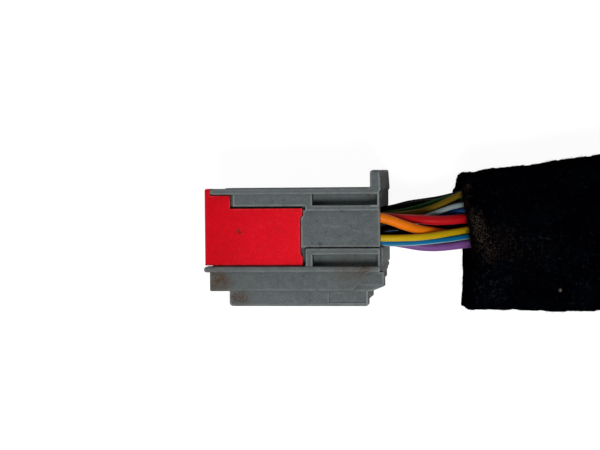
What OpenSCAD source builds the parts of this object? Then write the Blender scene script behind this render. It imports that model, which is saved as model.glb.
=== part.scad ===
// Wire to board connector housing with a slide-in lock, crimped wires and a fleece loom wrap.
// Millimetres. The connector lies on one flank: X runs from the mating face to the wire end,
// Y from the keel to the thumb guard, Z up through the other flank.
// The shapes are drawn from the mating face, the keel underside and the middle plane,
// and placed() moves them to the frame, whose origin is under the middle of the connector.

/* [Housing] */
// Length from the mating face to the rear face
body_len = 44.4; // [43:0.1:56]
// Width across the guide rails
body_w = 30; // [30:0.5:40]
// Height from the keel underside to the top of the upper rails
body_h = 29.6; // [29.6:0.1:38]
// Height of the guide rails
rail_h = 1.45; // [1.2:0.05:1.5]
// How far the plates beside the lock stand in from the rails
plate_inset = 0.4; // [0.2:0.05:0.8]
// How far the lock's wings and the centre panel stand in from the rails
wing_inset = 1.3; // [1.1:0.05:1.6]
// Height of the upper side plates
plate_h = 3; // [2.6:0.1:3.4]
// Height of the ledge under the upper slots
ledge_h = 1.45; // [1.2:0.05:1.6]
// Height of the lower slots
low_slot_h = 2.95; // [2:0.05:3.2]
// Height of the bar over the lower slots
bar_h = 1.6; // [1.2:0.05:1.8]
// Depth of the side slots below the rails
slot_depth = 3.2; // [2.9:0.05:3.3]
// Width of the groove under the centre panel
panel_groove = 0.25; // [0.2:0.05:0.4]

/* [Keying] */
// Height of the stepped base below the lower rails
base_h = 4.8; // [4:0.1:6]
// How far the base stands in from the rails
base_inset = 1.2; // [1:0.1:2]
// How far the base runs past the rear face
base_rear = 0.9; // [0.4:0.1:1.5]
// Height of the keel below the base
keel_h = 3.8; // [3:0.1:5]
// Width of each keel rib
keel_rib_w = 4.2; // [3:0.1:5]
// How far the keel stands in from the rails
keel_inset = 1.8; // [1.6:0.1:3]
// How much shorter the keel rib on the resting flank is
short_rib = 1.6; // [0.5:0.1:4]
// Width of the longer cheek of the base
cheek_w = 5; // [3:0.1:8]
// Step at the slanting edge of the cheek
cheek_step = 0.3; // [0.2:0.05:0.5]

/* [Thumb guard] */
// Height of the guard over the upper rails
guard_h = 4.5; // [3:0.1:6]
// Thickness of the guard along the connector
guard_t = 2.3; // [1.8:0.1:3]

/* [Cavities] */
// Cavities in each of the two rows
columns = 7; // [7:1:7]
// Distance between the cavities of one row
column_pitch = 3.4; // [3.1:0.05:3.4]
// Distance between the two rows
row_pitch = 5.2; // [5:0.1:5.6]
// Side of a square cavity
cavity_w = 2.6; // [2.5:0.05:2.7]
// Depth of the pocket at the wire end
pocket_depth = 6; // [4:0.5:8]
// Clearance of a terminal in its cavity, on each side
terminal_gap = 0.2; // [0.1:0.05:0.3]
// Length of a terminal
terminal_len = 21.4; // [18:0.1:24]

/* [Lock] */
// Length of the lock's wings
lock_len = 24.9; // [22:0.1:26]
// Thickness of the lock's front plate
front_t = 1.5; // [1.2:0.1:1.8]
// Wall of the lock's wings
wing_t = 1.2; // [1:0.05:1.3]
// Running gap between the lock and the housing
slide_gap = 0.25; // [0.15:0.05:0.3]
// Travel of the lock from locked to pre-lock
lock_travel = 3; // [2:0.1:4]
// Length of the lock's upper corner piece
head_len = 6.6; // [5:0.1:8]
// Width of a pin hole through the front plate
pin_hole_w = 1.1; // [0.8:0.05:1.2]

/* [Wrap] */
// Thickness of the flattened fleece wrap
wrap_t = 25; // [20:0.5:28]
// Length of the wrap
wrap_len = 51; // [40:1:80]

/* [Hidden] */
GREY = [0.37, 0.39, 0.40];
RED = [0.81, 0.05, 0.11];
TIN = [0.72, 0.72, 0.70];
BLACK = [0.02, 0.02, 0.03];

half_w = body_w / 2;
plate_z = half_w - plate_inset;
wing_z = half_w - wing_inset;
core_z = wing_z - wing_t - slide_gap;
base_z = half_w - base_inset;
keel_z = half_w - keel_inset;
slot_z = half_w - slot_depth;
root_z = core_z - 1.2;

base_top = keel_h + base_h;
low_rail_top = base_top + rail_h;
bar_y0 = low_rail_top + low_slot_h;
bar_y1 = bar_y0 + bar_h;
panel_y0 = bar_y1 + panel_groove;
top_rail_y0 = body_h - rail_h;
plate_y0 = top_rail_y0 - plate_h;
ledge_y1 = plate_y0 + 0.25;
ledge_y0 = ledge_y1 - ledge_h;

lock_y0 = low_rail_top + slide_gap;
lock_y1 = plate_y0 - 0.55;
head_y1 = top_rail_y0 - slide_gap;
core_x0 = front_t + slide_gap;
flare_h = 2.1;
flare_in = 0.55;
bevel_h = 0.9;

plate_x0 = head_len + 0.85;
frame_x0 = lock_len + 0.9;
slot_x0 = frame_x0 + 1.7;
slot_x1 = body_len - 0.5;

trough_z = 8.5;
trough_y0 = plate_y0 - 0.25;
guard_x0 = body_len - guard_t;
arm_z = 4.5;
arm_t = 1.2;
arm_gap = 1.3;
arm_y0 = trough_y0 + arm_gap;
arm_y1 = arm_y0 + arm_t;
arm_x0 = core_x0 + 1.5;
arm_x1 = guard_x0 - 3;
tooth_h = 1.8;
scoop_w = 22;
scoop_depth = 0.4;

pocket_y0 = bar_y1;
pocket_y1 = trough_y0 - 0.1;
pocket_z = wing_z - 1.9;
pocket_x0 = body_len - pocket_depth;
row_mid = (pocket_y0 + pocket_y1) / 2;
row_y = [row_mid + row_pitch / 2, row_mid - row_pitch / 2];
terminal_x0 = core_x0 + 0.85;
terminal_x1 = terminal_x0 + terminal_len;
terminal_w = cavity_w - 2 * terminal_gap;

blade_t = 0.8;
blade_len = 9;
blade_z = core_z - 1.25;
catch_len = 2;
catch_w = 1.6;
catch_h = 0.55;
catch_x0 = 18;

floor_z = -half_w;
origin_x = (body_len + base_rear) / 2;
origin_y = (body_h + guard_h) / 2;

// Route of the wires: common stations along X where the wires lie free
FREE_X = [42, 46, 50, 54, 58, 62, 66];
// Stations where they lie straight, side by side, inside the wrap
WRAP_X = [70, 82, 94, 106, 113];
// Y and Z of each wire at the free stations, then its place in the wrap
ORANGE = [[22.5, 10.2], [21.6, 9.6], [20.1, 8.2], [18.8, 5.6], [18, 1.6], [17.2, -1.8], [16.9, -3.6]];
RED_W = [[22.2, 6.8], [21.9, 6.6], [21.6, 5.8], [21.4, 3.8], [21.1, 2.6], [21.2, 1.2], [21.5, -0.4]];
WHITE = [[22.3, 3.4], [21.9, 3], [21.4, 2], [21.6, 0.9], [23.1, 0.6], [24.5, 0.1], [25.2, -0.5]];
OLIVE = [[22.3, 0], [22.5, 0], [22.8, 0], [23.4, -0.2], [24.8, -0.5], [26.7, -0.4], [28.4, -0.6]];
GREEN = [[22.5, -3.4], [23, -3.3], [23.6, -3.1], [24.6, -2.8], [25.9, -2.5], [27, -2.1], [27, -1.6]];
BLACK_1 = [[22.9, -6.8], [23.9, -6.6], [24.8, -6.2], [25.5, -5.5], [25.7, -4.9], [26.2, -4.4], [26.8, -3.9]];
BLACK_2 = [[23.5, -10], [24.2, -9.4], [25.2, -8.4], [25.8, -7.3], [26.4, -6.6], [27.3, -5.9], [28.3, -5]];
YELLOW = [[17, 10.2], [16.9, 9.9], [16.9, 9], [17, 7.2], [17.4, 4.8], [18, 2.2], [18.6, 0]];
BLUE = [[16.3, 7.2], [15.5, 7.4], [15.5, 7], [15.7, 5.8], [16, 3.8], [16.4, 1.8], [16.9, -0.2]];
PURPLE = [[16.6, 3.6], [15.9, 3.8], [15.2, 3.7], [14.5, 3], [14.3, 2], [14.6, 0.8], [15, -0.5]];
NAVY = [[17.4, -6.8], [18.6, -6.9], [20.4, -6.6], [21.6, -4.9], [22.3, -2.6], [23.1, -1.7], [23.6, -1.2]];
BROWN = [[17.4, -10.2], [18.4, -9.8], [20.4, -9], [22.4, -8], [23.8, -6.9], [25, -5.7], [25.2, -4.4]];
BLACK_3 = [[17.2, 0], [17.45, -0.6], [17.8, -1.2], [18, -2], [18.9, -2.9], [19.3, -3.5], [19.3, -3.8]];
BLACK_4 = [[18.2, -3.5], [19.2, -3.7], [18.9, -3.7], [19.4, -3.9], [20.3, -4.4], [21.6, -4.6], [22.9, -4.1]];

// Each wire: row, column from the upper flank, diameter, colour, free route, place in the wrap, end
WIRES = [
    [0, 0, 2.4, "orange", ORANGE, [17, -3.9], 124],
    [0, 1, 2.4, "red", RED_W, [21.6, -0.9], 126],
    [0, 2, 1.3, "white", WHITE, [25.3, -0.9], 123],
    [0, 3, 1.5, "olive", OLIVE, [28.7, -0.9], 125],
    [0, 4, 1.3, "green", GREEN, [27, -0.9], 122],
    [0, 5, 1.6, BLACK, BLACK_1, [26.9, -3.9], 125],
    [0, 6, 1.6, BLACK, BLACK_2, [28.7, -3.9], 124],
    [1, 0, 1.7, "yellow", YELLOW, [18.8, -0.9], 125],
    [1, 1, 1.5, "deepskyblue", BLUE, [17, -0.9], 123],
    [1, 2, 2.2, "purple", PURPLE, [15, -0.9], 125],
    [1, 3, 1.6, BLACK, BLACK_3, [19.2, -3.9], 123],
    [1, 4, 1.6, BLACK, BLACK_4, [23.1, -3.9], 126],
    [1, 5, 1.5, "navy", NAVY, [23.7, -0.9], 124],
    [1, 6, 1.3, "saddlebrown", BROWN, [25.1, -3.9], 122]
];
wire_sides = 8;
bundle_mid = [21.9, -2.4];
end_splay = 1.12;

// The wrap: its mouth reaches out furthest at mouth_top on the resting side, and it widens to its end
wrap_x0 = 61.6;
mouth_top = 28.5;
mouth_slant = 0.45;
mouth_skew = 0.19;
mouth_run = 13;
lean_z = -4;
mouth_lean = 0.34;
wrap_y0 = [-1.5, -2.3];
wrap_y1 = [33.1, 39];
wrap_sides = 28;
wrap_power = 4;
hole_power = 7;
wrap_mid_z = floor_z + wrap_t / 2;
mouth_hole = [12.6, 30.6, -8, 3.8];
bundle_hole = [13.6, 30, -5.4, 0.6];

// ---------- shared shapes ----------

// Moves a piece from its drawing place to the frame
module placed() {
    translate([-origin_x, -origin_y, half_w]) children();
}

// A piece and its mirror image on the other flank
module both_flanks() {
    children();
    mirror([0, 0, 1]) children();
}

// Extrudes a Y-Z outline from x0 to x1
module along_x(x0, x1) {
    translate([x0, 0, 0]) rotate([90, 0, 90]) linear_extrude(x1 - x0) children();
}

// Extrudes an X-Y outline from z0 to z1
module along_z(z0, z1) {
    translate([0, 0, z0]) linear_extrude(z1 - z0) children();
}

// A box between two corners
module block(low, high) {
    translate(low) cube(high - low);
}

function arc(cx, cy, r, a0, a1, steps = 5) =
    [for (i = [0:steps]) let (a = a0 + (a1 - a0) * i / steps) [cx + r * cos(a), cy + r * sin(a)]];

function round_rect(x0, x1, y0, y1, r) = concat(
    arc(x1 - r, y0 + r, r, -90, 0), arc(x1 - r, y1 - r, r, 0, 90),
    arc(x0 + r, y1 - r, r, 90, 180), arc(x0 + r, y0 + r, r, 180, 270));

// A Y-Z outline that is round at its two outer corners
function outer_round(y0, y1, z0, z1, r) = concat(
    [[y0, z0], [y1, z0]], arc(y1 - r, z1 - r, r, 0, 90, 3), arc(y0 + r, z1 - r, r, 90, 180, 3));

// A bar on the flank with round ends and softened outer edges
module bar(x0, x1, y0, y1, z1, end_r, edge_r) {
    intersection() {
        along_z(root_z, z1) polygon(round_rect(x0, x1, y0, y1, end_r));
        along_x(x0 - 1, x1 + 1) polygon(outer_round(y0, y1, root_z, z1, edge_r));
    }
}

// ---------- housing ----------

// Rear edge of the lock's wing, moved back by gap, from its lower to its upper end
function wing_edge(gap) = [
    [lock_len + gap, lock_y0], [lock_len + gap, lock_y0 + flare_h],
    [lock_len - flare_in + gap, lock_y0 + flare_h + bevel_h],
    [lock_len - flare_in + gap, lock_y1 - flare_h - 0.2],
    [lock_len + gap, lock_y1 - flare_h + 0.3], [lock_len + gap, lock_y1]];

module side_rails() {
    bar(core_x0, body_len, top_rail_y0, body_h, half_w, 0.6, 0.35);
    bar(0, body_len + 0.1, base_top, low_rail_top, half_w, 0.65, 0.5);
}

module side_plates() {
    bar(plate_x0, slot_x0, plate_y0, top_rail_y0 + 0.3, plate_z, 0.15, 0.3);
    bar(frame_x0, body_len - 0.1, ledge_y0, ledge_y1, plate_z, 0.15, 0.3);
    bar(frame_x0, body_len, bar_y0, bar_y1, plate_z, 0.5, 0.3);
    bar(frame_x0, slot_x0, low_rail_top - 0.3, bar_y0 + 0.6, plate_z, 0.15, 0.3);
    along_z(root_z, wing_z) polygon(concat(
        [[body_len, panel_y0]], [[body_len, ledge_y0 + 0.2]],
        [[lock_len + slide_gap, ledge_y0 + 0.2]],
        [for (i = [4:-1:3]) wing_edge(slide_gap)[i]],
        [[lock_len - flare_in + slide_gap, panel_y0]]));
    block([slot_x1, bar_y0, root_z], [body_len, bar_y1, plate_z - 0.3]);
    block([slot_x1, low_rail_top - 0.2, root_z], [body_len, bar_y0 + 0.3, plate_z - 0.3]);
    block([slot_x1, ledge_y1 - 0.3, root_z], [body_len, top_rail_y0 + 0.2, plate_z - 0.3]);
}

// Pockets between the rails and the plates
module side_slots() {
    block([slot_x0, ledge_y1, slot_z], [slot_x1, top_rail_y0, half_w]);
    block([slot_x0, low_rail_top, slot_z], [slot_x1, bar_y0, half_w]);
    block([lock_len - flare_in, low_rail_top, slot_z], [frame_x0, bar_y1, half_w]);
    block([lock_len, bar_y1, wing_z - 1.1], [body_len - 0.3, panel_y0, half_w]);
}

// What is cut away behind the slanting edge of the cheek, down to a depth, with a bevelled edge
module behind_slant(depth) {
    translate([body_len + base_rear - 8.1, keel_h, base_z]) rotate([0, 0, 48])
        along_x(-4, 16) polygon([
            [0, 0], [-depth, -depth], [-14, -depth], [-14, 1], [0, 1]]);
}

// The stepped base, and the longer cheek on its upper flank, which steps down to the keel
module base() {
    back = body_len - 0.4;
    x1 = body_len + base_rear;
    low_step = max(base_z - keel_z, cheek_step + 0.1);
    difference() {
        intersection() {
            union() {
                along_z(-base_z, base_z) polygon(concat(
                    arc(1.3 + 0.3, keel_h + 0.3, 0.3, 180, 270, 3),
                    [[back - 2.5, keel_h], [back, keel_h + 2.4], [back, base_top], [1.3, base_top]]));
                along_z(base_z - cheek_w, base_z) polygon([
                    [back - 8, keel_h], [x1 - 3, keel_h], [x1, keel_h + 1.2],
                    [x1, base_top], [back - 8, base_top]]);
            }
            along_x(0, x1 + 1) polygon([
                [keel_h, -base_z + 0.35], [keel_h + 0.35, -base_z], [base_top, -base_z],
                [base_top, base_z], [keel_h + 0.35, base_z], [keel_h, base_z - 0.35]]);
        }
        behind_slant(cheek_step);
        intersection() {
            behind_slant(low_step);
            along_x(back - 9, x1 + 1) polygon([
                [keel_h + 1.5, base_z + 1], [keel_h + 1.5, base_z - cheek_step],
                [keel_h + 1.5 - (low_step - cheek_step), base_z - low_step],
                [keel_h - 1, base_z - low_step], [keel_h - 1, base_z + 1]]);
        }
    }
}

// One keel rib on the upper flank, whose rear end is at x1
module keel_rib(x1) {
    rib_z0 = keel_z - keel_rib_w;
    difference() {
        intersection() {
            along_z(rib_z0, keel_z) polygon(concat(
                arc(6.2 + 0.9, 0.9, 0.9, 180, 270), arc(x1 - 0.6, 0.6, 0.6, 270, 360),
                [[x1, keel_h + 0.4], [6.2, keel_h + 0.4]]));
            along_x(5, x1 + 1) polygon([
                [0, rib_z0], [0, keel_z - 0.35], [0.35, keel_z],
                [keel_h + 0.4, keel_z], [keel_h + 0.4, rib_z0]]);
        }
        block([x1 - 9.9, 0.85, keel_z - 0.2], [x1 - 0.55, keel_h, keel_z + 1]);
    }
}

// A long rib, a shorter rib on the resting flank, and the shallower web between them
module keel() {
    x1 = body_len - 3.1;
    web_z = keel_z - keel_rib_w + 0.5;
    keel_rib(x1);
    mirror([0, 0, 1]) keel_rib(x1 - short_rib);
    block([7.4, keel_h - 2.5, -web_z], [x1 - 0.5, keel_h + 0.4, web_z]);
}

// Rear wall above the wires, carried up into the thumb guard
module guard() {
    top = body_h + guard_h;
    difference() {
        intersection() {
            along_z(-half_w, half_w) polygon(concat(
                [[guard_x0, trough_y0]], [[body_len, trough_y0]], [[body_len, body_h - 0.9]],
                [[body_len + 0.35, body_h - 0.3]],
                arc(body_len - 0.35, top - 0.4, 0.4, 0, 90, 3),
                arc(guard_x0 + 0.8, top - 0.8, 0.8, 90, 180),
                arc(guard_x0 - 0.6, body_h + 0.6, 0.6, 360, 270, 4),
                [[guard_x0 - 0.6, body_h - 0.4], [guard_x0, body_h - 0.8]]));
            along_x(guard_x0 - 2, body_len + 1) polygon(concat(
                [[trough_y0, half_w], [trough_y0, -half_w]],
                arc(top - 1, -half_w + 1, 1, -90, 0), arc(top - 1, half_w - 1, 1, 0, 90)));
        }
        along_x(guard_x0 - 2, body_len + 1) polygon([for (i = [-6:6])
            [top - scoop_depth * (1 - pow(i / 6, 2)) + (abs(i) == 6 ? 1 : 0), i * scoop_w / 12]]);
    }
}

// Latch arm: rooted at the mating end, free at the wire end, with a ramped tooth and a ribbed pad
module latch_arm() {
    block([arm_x0, arm_y0, -arm_z], [arm_x1, arm_y1, arm_z]);
    block([arm_x0, trough_y0 - 0.2, -arm_z], [arm_x0 + 4, arm_y1, arm_z]);
    tooth_x = arm_x0 + 22;
    along_z(-arm_z + 0.8, arm_z - 0.8) polygon([
        [tooth_x - 6, arm_y1 - 0.2], [tooth_x - 0.7, arm_y1 + tooth_h],
        [tooth_x, arm_y1 + tooth_h], [tooth_x, arm_y1 - 0.2]]);
    for (i = [0:3])
        block([arm_x1 - 5.6 + i * 1.5, arm_y1 - 0.2, -arm_z], [arm_x1 - 4.9 + i * 1.5, arm_y1 + 0.9, arm_z]);
}

// Low upright ribs on the rear face, below the wires
module rear_ribs() {
    for (z = [-11.5, -6.5, -1, 4.5, 9.5])
        block([body_len - 0.5, low_rail_top + 0.4, z - 0.6], [body_len + 0.5, bar_y1 - 0.2, z + 0.6]);
}

module housing() {
    placed() color(GREY) {
        difference() {
            union() {
                block([core_x0, base_top - 0.4, -core_z], [body_len, body_h, core_z]);
                both_flanks() side_rails();
                both_flanks() side_plates();
                base();
                keel();
                guard();
                rear_ribs();
            }
            both_flanks() side_slots();
            block([core_x0 - 1, trough_y0, -trough_z], [guard_x0, body_h + 1, trough_z]);
            // lock blade slot, and the grooves that stop the lock's catches
            block([core_x0 - 1, row_mid - blade_t / 2 - slide_gap, -blade_z - slide_gap],
                [blade_len + 0.6, row_mid + blade_t / 2 + slide_gap, blade_z + slide_gap]);
            both_flanks() block(
                [catch_x0 - lock_travel - slide_gap, row_mid - catch_w / 2 - slide_gap,
                    core_z - catch_h - 0.05],
                [catch_x0 + catch_len + slide_gap, row_mid + catch_w / 2 + slide_gap, core_z + 1]);
            block([pocket_x0, pocket_y0, -pocket_z], [body_len + 1, pocket_y1, pocket_z]);
            for (row = [0:1], column = [0:columns - 1])
                block([core_x0 - 1, row_y[row] - cavity_w / 2, column_z(column) - cavity_w / 2],
                    [pocket_x0 + 0.5, row_y[row] + cavity_w / 2, column_z(column) + cavity_w / 2]);
            // cored pockets in the rear face of the base
            for (z = [-9, -3, 3])
                block([body_len - 3, keel_h + 2.8, z - 2.3], [body_len + 2, base_top - 0.4, z + 2.3]);
        }
        latch_arm();
    }
}

// ---------- lock ----------

module lock() {
    plate_top = body_h + 0.05;
    placed() color(RED) difference() {
        union() {
            intersection() {
                along_z(-wing_z, wing_z) polygon(concat(
                    [[0, lock_y0]], wing_edge(0),
                    [[head_len, lock_y1], [head_len, head_y1], [front_t, head_y1]],
                    [[front_t, plate_top], [0.4, plate_top], [0, plate_top - 0.4]]));
                // rounded front corners, seen from above
                translate([0, plate_top + 1, 0]) rotate([90, 0, 0]) linear_extrude(plate_top - lock_y0 + 2)
                    polygon(concat(
                        [[lock_len + 1, wing_z], [lock_len + 1, wing_z - wing_t]],
                        [[front_t, wing_z - wing_t], [front_t, -wing_z + wing_t]],
                        [[lock_len + 1, -wing_z + wing_t], [lock_len + 1, -wing_z]],
                        arc(0.8, -wing_z + 0.8, 0.8, 270, 180), arc(0.8, wing_z - 0.8, 0.8, 180, 90)));
            }
            block([front_t - 0.3, row_mid - blade_t / 2, -blade_z], [blade_len, row_mid + blade_t / 2, blade_z]);
            both_flanks() block([catch_x0, row_mid - catch_w / 2, core_z + slide_gap - catch_h],
                [catch_x0 + catch_len, row_mid + catch_w / 2, core_z + slide_gap + 0.3]);
        }
        // the front plate is lower on the resting flank
        block([-1, head_y1, -wing_z - 1], [front_t, plate_top + 1, 0]);
        // room for the header's latch above the front plate
        block([-1, trough_y0 + 0.2, -trough_z - 0.2], [front_t + 1, plate_top + 1, trough_z + 0.2]);
        for (row = [0:1], column = [0:columns - 1])
            translate([0, row_y[row], column_z(column)]) {
                block([-1, -pin_hole_w / 2, -pin_hole_w / 2], [front_t + 1, pin_hole_w / 2, pin_hole_w / 2]);
                translate([-0.1, 0, 0]) rotate([0, 90, 0]) cylinder(r1 = 1.05, r2 = 0.5, h = 0.8, $fn = 24);
            }
        // gate mark, a shallow round pit on the upper flank
        translate([9, row_mid - 0.8, wing_z - 0.12]) cylinder(r = 0.55, h = 1, $fn = 24);
    }
}

// ---------- terminals ----------

function column_z(column) = ((columns - 1) / 2 - column) * column_pitch;

// A female crimp terminal: spring box, neck, wire crimp and insulation crimp
module terminal(row, column) {
    w = terminal_w;
    placed() color(TIN) translate([terminal_x0, row_y[row], column_z(column)]) {
        difference() {
            block([0, -w / 2, -w / 2], [8, w / 2, w / 2]);
            block([-1, -w / 2 + 0.3, -w / 2 + 0.3], [7.4, w / 2 - 0.3, w / 2 - 0.3]);
        }
        // contact spring inside the box
        along_z(-0.5, 0.5) polygon([
            [1, -w / 2 + 0.2], [4, 0], [7, -w / 2 + 0.2]]);
        block([7.8, -w / 2, -0.6], [terminal_len, -w / 2 + 0.3, 0.6]);
        block([10.5, -w / 2, -0.8], [14.5, 0.55, 0.8]);
        translate([terminal_len - 5, 0, 0]) rotate([0, 90, 0]) cylinder(r = 1.2, h = 5, $fn = 32);
    }
}

// ---------- wires ----------

function unit(v) = v / norm(v);

function splayed(place) = bundle_mid + end_splay * (place - bundle_mid);

// The whole centre line of a wire, from its crimp to its cut end
function route(w) = concat(
    [for (x = [terminal_x1, 31, pocket_x0]) [x, row_y[w[0]], column_z(w[1])]],
    [for (i = [0:len(FREE_X) - 1]) [FREE_X[i], w[4][i][0], w[4][i][1]]],
    [for (x = WRAP_X) [x, w[5][0], w[5][1]]],
    [[w[6] - 5, splayed(w[5])[0], splayed(w[5])[1]], [w[6], splayed(w[5])[0], splayed(w[5])[1]]]);

function heading(points, i) = unit(points[min(i + 1, len(points) - 1)] - points[max(i - 1, 0)]);

function ring(centre, along, r) =
    let (u = unit(cross([0, 0, 1], along)), v = cross(along, u))
    [for (k = [0:wire_sides - 1])
        centre + r * (cos(360 * k / wire_sides) * u + sin(360 * k / wire_sides) * v)];

module wire(index) {
    w = WIRES[index];
    points = route(w);
    rings = [for (i = [0:len(points) - 1]) each ring(points[i], heading(points, i), w[2] / 2)];
    last = (len(points) - 1) * wire_sides;
    placed() color(w[3]) polyhedron(rings, concat(
        [[for (k = [0:wire_sides - 1]) k]],
        [for (i = [0:len(points) - 2], k = [0:wire_sides - 1])
            let (a = i * wire_sides, n = (k + 1) % wire_sides)
            [a + k, a + wire_sides + k, a + wire_sides + n, a + n]],
        [[for (k = [wire_sides - 1:-1:0]) last + k]]));
}

// ---------- wrap ----------

function signed_power(v, p) = sign(v) * pow(abs(v), p);

// A flattened round outline through the four sides given, as Y-Z points
function oval(y0, y1, z0, z1, power) =
    [for (k = [0:wrap_sides - 1]) let (a = 360 * k / wrap_sides)
        [(y0 + y1) / 2 + (y1 - y0) / 2 * signed_power(cos(a), 2 / power),
            (z0 + z1) / 2 + (z1 - z0) / 2 * signed_power(sin(a), 2 / power)]];

// How far the mouth is set back at a Y-Z point of its edge
function mouth_back(p) =
    mouth_lean * max(p[1] - lean_z, 0) + mouth_slant * max(p[0] - mouth_top, 0)
    + mouth_skew * min(max(mouth_top - p[0], 0), mouth_run);

module wrap() {
    // outer outlines from mouth to end, then inner ones back from the end to the mouth
    outer = [for (s = [0, 0.25, 0.5, 0.75, 1])
        [s, oval(wrap_y0[0] + s * (wrap_y0[1] - wrap_y0[0]), wrap_y1[0] + s * (wrap_y1[1] - wrap_y1[0]),
            floor_z, floor_z + wrap_t, wrap_power)]];
    inner = [for (s = [1, 0.25, 0]) let (hole = s == 0 ? mouth_hole : bundle_hole)
        [s, oval(hole[0], hole[1], hole[2], hole[3], hole_power)]];
    loops = concat(outer, inner);
    points = [for (item = loops) each [for (p = item[1])
        [wrap_x0 + item[0] * wrap_len + (1 - item[0]) * mouth_back(p), p[0], p[1]]]];
    count = len(loops);
    placed() color(BLACK) polyhedron(points, [
        for (i = [0:count - 1], k = [0:wrap_sides - 1], half = [0:1])
            let (a = i * wrap_sides, b = ((i + 1) % count) * wrap_sides, n = (k + 1) % wrap_sides)
            half == 0 ? [a + k, b + k, b + n] : [a + k, b + n, a + n]]);
}

// ---------- the assembly ----------

housing();
lock();
wrap();
terminal(0, 0);  // terminal_a1
terminal(0, 1);  // terminal_a2
terminal(0, 2);  // terminal_a3
terminal(0, 3);  // terminal_a4
terminal(0, 4);  // terminal_a5
terminal(0, 5);  // terminal_a6
terminal(0, 6);  // terminal_a7
terminal(1, 0);  // terminal_b1
terminal(1, 1);  // terminal_b2
terminal(1, 2);  // terminal_b3
terminal(1, 3);  // terminal_b4
terminal(1, 4);  // terminal_b5
terminal(1, 5);  // terminal_b6
terminal(1, 6);  // terminal_b7
wire(0);  // wire_orange
wire(1);  // wire_red
wire(2);  // wire_white
wire(3);  // wire_olive
wire(4);  // wire_green
wire(5);  // wire_black_1
wire(6);  // wire_black_2
wire(7);  // wire_yellow
wire(8);  // wire_blue
wire(9);  // wire_purple
wire(10);  // wire_black_3
wire(11);  // wire_black_4
wire(12);  // wire_navy
wire(13);  // wire_brown
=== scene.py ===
"""A wire to board connector with its slide-in lock, wires and fleece loom wrap, as a studio product shot."""
import math

import bpy
import numpy as np
from mathutils import Matrix, Vector, noise


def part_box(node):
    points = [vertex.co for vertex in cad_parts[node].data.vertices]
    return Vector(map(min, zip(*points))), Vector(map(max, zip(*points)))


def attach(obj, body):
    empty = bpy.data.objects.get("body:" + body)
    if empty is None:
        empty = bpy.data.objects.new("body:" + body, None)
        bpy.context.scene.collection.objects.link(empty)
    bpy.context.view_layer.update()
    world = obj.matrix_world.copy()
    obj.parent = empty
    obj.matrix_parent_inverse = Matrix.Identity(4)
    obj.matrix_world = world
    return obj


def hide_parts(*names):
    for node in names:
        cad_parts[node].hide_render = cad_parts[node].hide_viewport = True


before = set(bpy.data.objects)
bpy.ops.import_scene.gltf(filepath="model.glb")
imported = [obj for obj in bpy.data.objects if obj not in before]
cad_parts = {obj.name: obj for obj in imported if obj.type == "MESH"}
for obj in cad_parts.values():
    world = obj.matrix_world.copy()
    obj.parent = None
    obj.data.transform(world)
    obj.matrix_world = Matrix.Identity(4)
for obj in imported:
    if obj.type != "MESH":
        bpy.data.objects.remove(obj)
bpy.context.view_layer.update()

MM = 0.001
random = np.random.default_rng(7)
housing_low, housing_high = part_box("housing")
body_z = (housing_low.z + housing_high.z) / 2


def at(x, y, z):
    """A point of the construction drawing, in the frame.

    The drawing measures in mm from the mating face, the keel and the middle plane.
    """
    return Vector((housing_low.x + x * MM, housing_low.y + y * MM, body_z + z * MM))


# ---------- camera ----------

CAMERA_PLACE = at(80.875, 33.828, 461.255)
LENS, SENSOR = 108, 36
YAW, PITCH, ROLL = math.radians(7.2), math.radians(1.7), math.radians(0.5)
back = Vector((math.sin(YAW) * math.cos(PITCH), math.sin(PITCH), math.cos(YAW) * math.cos(PITCH)))
right = Vector((0, 1, 0)).cross(back).normalized()
up = back.cross(right)
right, up = (right * math.cos(ROLL) - up * math.sin(ROLL), right * math.sin(ROLL) + up * math.cos(ROLL))
camera_data = bpy.data.cameras.new("camera")
camera_data.lens = LENS
camera_data.sensor_width = SENSOR
camera_data.sensor_fit = "HORIZONTAL"
camera_data.clip_start = 0.01
camera = bpy.data.objects.new("camera", camera_data)
camera.matrix_world = Matrix((
    (right.x, up.x, back.x, 0), (right.y, up.y, back.y, 0), (right.z, up.z, back.z, 0), (0, 0, 0, 1)))
camera.location = CAMERA_PLACE
bpy.context.scene.collection.objects.link(camera)
bpy.context.scene.camera = camera


# ---------- shared helpers ----------

def mesh_object(name, points, faces, smooth=True):
    mesh = bpy.data.meshes.new(name)
    mesh.from_pydata([tuple(p) for p in points], [], [tuple(int(i) for i in f) for f in faces])
    mesh.update()
    mesh.polygons.foreach_set("use_smooth", [smooth] * len(mesh.polygons))
    obj = bpy.data.objects.new(name, mesh)
    bpy.context.scene.collection.objects.link(obj)
    return obj


def ring_faces(a, b, count):
    """The faces between two rings of count points, which begin at the points a and b."""
    return [(a + k, a + (k + 1) % count, b + (k + 1) % count, b + k) for k in range(count)]


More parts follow.
